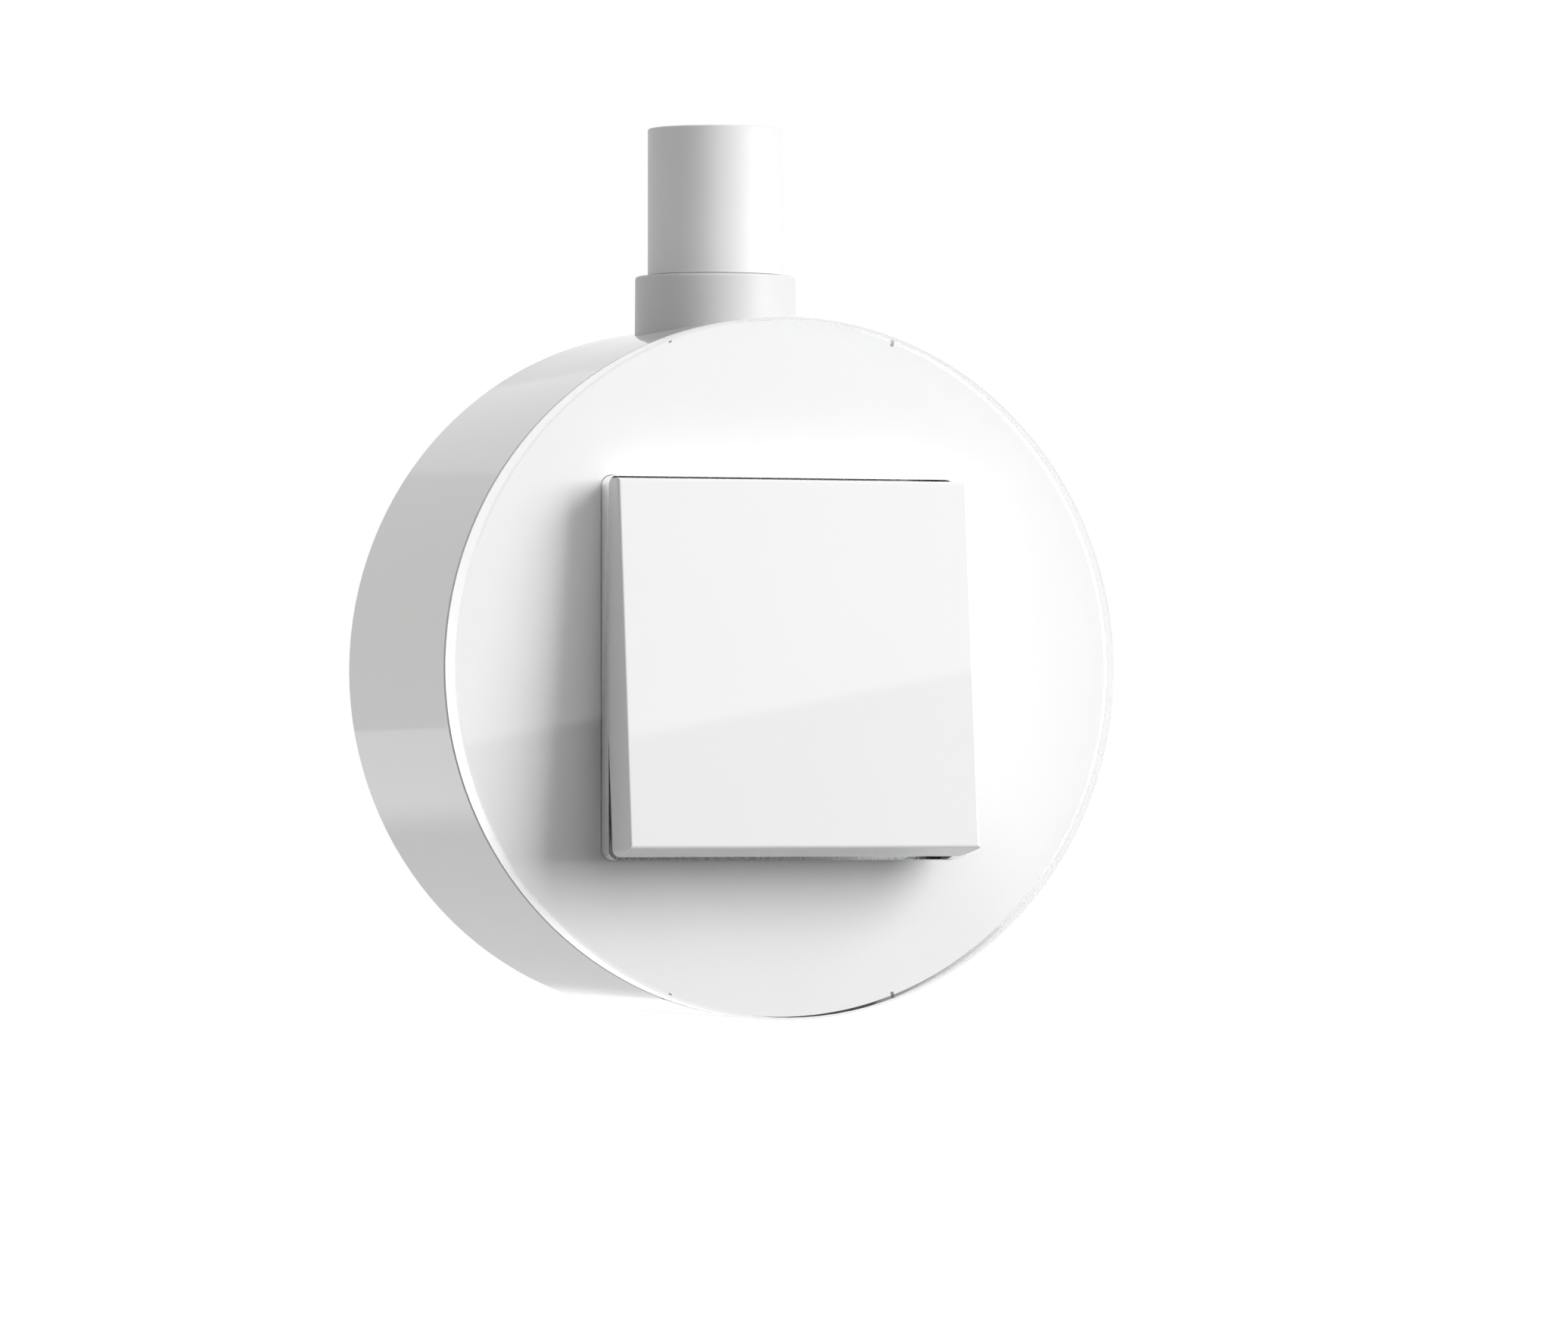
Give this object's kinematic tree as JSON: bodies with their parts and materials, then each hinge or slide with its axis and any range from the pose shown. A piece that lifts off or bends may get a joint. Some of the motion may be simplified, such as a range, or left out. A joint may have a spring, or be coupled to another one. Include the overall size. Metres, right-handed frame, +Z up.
{
  "type": "surface-mounted rocker switch",
  "caption": "Round wall-mounted rocker light switch with a glass front, a square tilting rocker and a rigid conduit entering through a collar at the top.",
  "frame": {"origin": "centre of the round back, on the wall", "axes": "+Y into the wall, +Z up towards the conduit, +X to the right as seen from the front"},
  "size_m": [0.101, 0.0566, 0.13],
  "materials": {
    "housing_plastic": "glossy pure white moulding",
    "rocker_plastic": "glossy pure white moulding",
    "conduit_plastic": "smooth extruded white conduit",
    "clear_glass": "clear polished glass",
    "white_enamel": "white coat on the back of the glass",
    "foam_tape": "closed-cell foam tape",
    "inner_plastic_light": "satin light moulding",
    "inner_plastic_dark": "matt dark thermoset",
    "button_plastic": "satin orange moulding",
    "seal_rubber": "soft black rubber",
    "zinc_steel": "zinc-plated sheet and screws",
    "brass_parts": "plain turned brass",
    "copper_parts": "stamped copper alloy strip",
    "silver_contacts": "silver contact rivets"
  },
  "bodies": {
    "housing": {"back_plate": "housing_plastic", "housing_shell": "housing_plastic", "shell_screws": "zinc_steel", "conduit_collar": "housing_plastic", "collar_lock_ring": "inner_plastic_light", "conduit_pipe": "conduit_plastic", "pipe_seal_ring": "seal_rubber", "glass_front": "clear_glass", "enamel_coat": "white_enamel", "bonding_tape": "foam_tape", "cover_frame": "inner_plastic_light", "support_ring": "zinc_steel", "support_screws": "zinc_steel", "frame_rivets": "brass_parts", "switch_base": "inner_plastic_dark", "bearing_cover": "inner_plastic_dark", "common_blade": "copper_parts", "top_blade": "copper_parts", "bottom_blade": "copper_parts", "blade_contacts": "silver_contacts", "terminal_springs": "zinc_steel", "earth_terminal": "brass_parts", "earth_screw": "zinc_steel"},
    "rocker": {"rocker_cap": "rocker_plastic", "rocker_yoke": "inner_plastic_light", "plunger_spring": "zinc_steel"},
    "plunger": {"plunger": "inner_plastic_light"},
    "contact_lever": {"contact_lever": "copper_parts", "lever_contacts": "silver_contacts"},
    "release_button_left": {"release_button_left": "button_plastic"},
    "release_button_right": {"release_button_right": "button_plastic"}
  },
  "joints": [
    {"name": "rocker_tilt", "type": "hinge", "parent": "housing", "child": "rocker", "pos_m": [0, -0.04755, 0], "axis": [1, 0, 0], "range_deg": [0, 11.4]},
    {"name": "plunger_slide", "type": "slide", "parent": "rocker", "child": "plunger", "axis": [0, 0.9951, -0.0993], "range_m": [-0.0006, 0], "stiffness_N_per_m": 400, "springref_m": 0.003},
    {"name": "lever_tilt", "type": "hinge", "parent": "housing", "child": "contact_lever", "pos_m": [0, -0.027, 0], "axis": [1, 0, 0], "range_deg": [-16, 0]},
    {"name": "release_left", "type": "slide", "parent": "housing", "child": "release_button_left", "axis": [0, -1, 0], "range_m": [0, 0.0018], "stiffness_N_per_m": 600, "springref_m": -0.002},
    {"name": "release_right", "type": "slide", "parent": "housing", "child": "release_button_right", "axis": [0, -1, 0], "range_m": [0, 0.0018], "stiffness_N_per_m": 600, "springref_m": -0.002}
  ],
  "couplings": [
    {"joint": "lever_tilt", "follows": "rocker_tilt", "ratio": -1.4}
  ]
}
